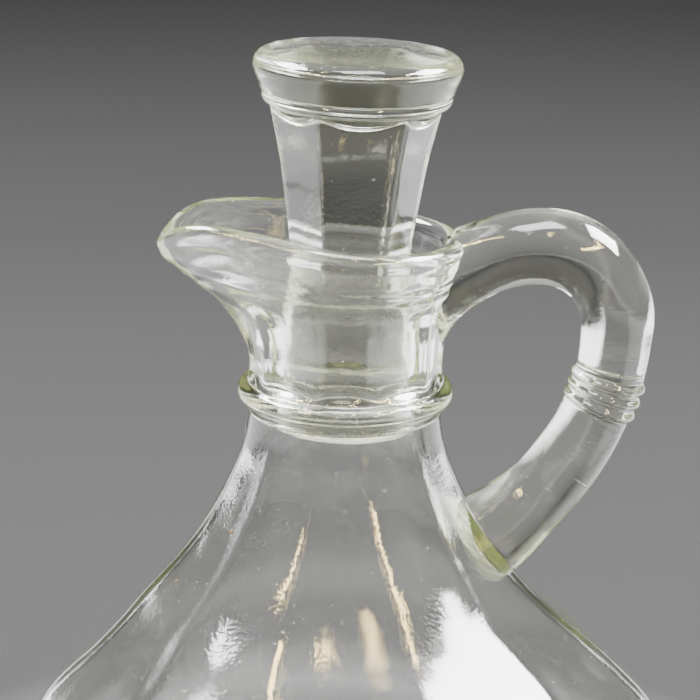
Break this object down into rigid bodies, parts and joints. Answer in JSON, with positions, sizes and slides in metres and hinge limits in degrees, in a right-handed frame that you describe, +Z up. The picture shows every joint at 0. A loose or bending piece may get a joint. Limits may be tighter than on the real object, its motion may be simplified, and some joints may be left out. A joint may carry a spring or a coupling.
{
  "type": "glass cruet with stopper",
  "caption": "Pressed glass oil or vinegar cruet with a pouring spout, a round looped handle and a glass stopper set in its neck.",
  "frame": {"origin": "on the table, under the middle of the body's foot", "axes": "+Z up along the bottle, -X towards the spout, +X towards the handle"},
  "size_m": [0.1196, 0.1164, 0.1523],
  "materials": {
    "bottle_glass": "clear pressed glass with a pale green tint in thick edges",
    "stopper_glass": "clear pressed glass with a scuffed flat top"
  },
  "bodies": {
    "root": {"bottle": "bottle_glass", "stopper": "stopper_glass"}
  },
  "joints": []
}
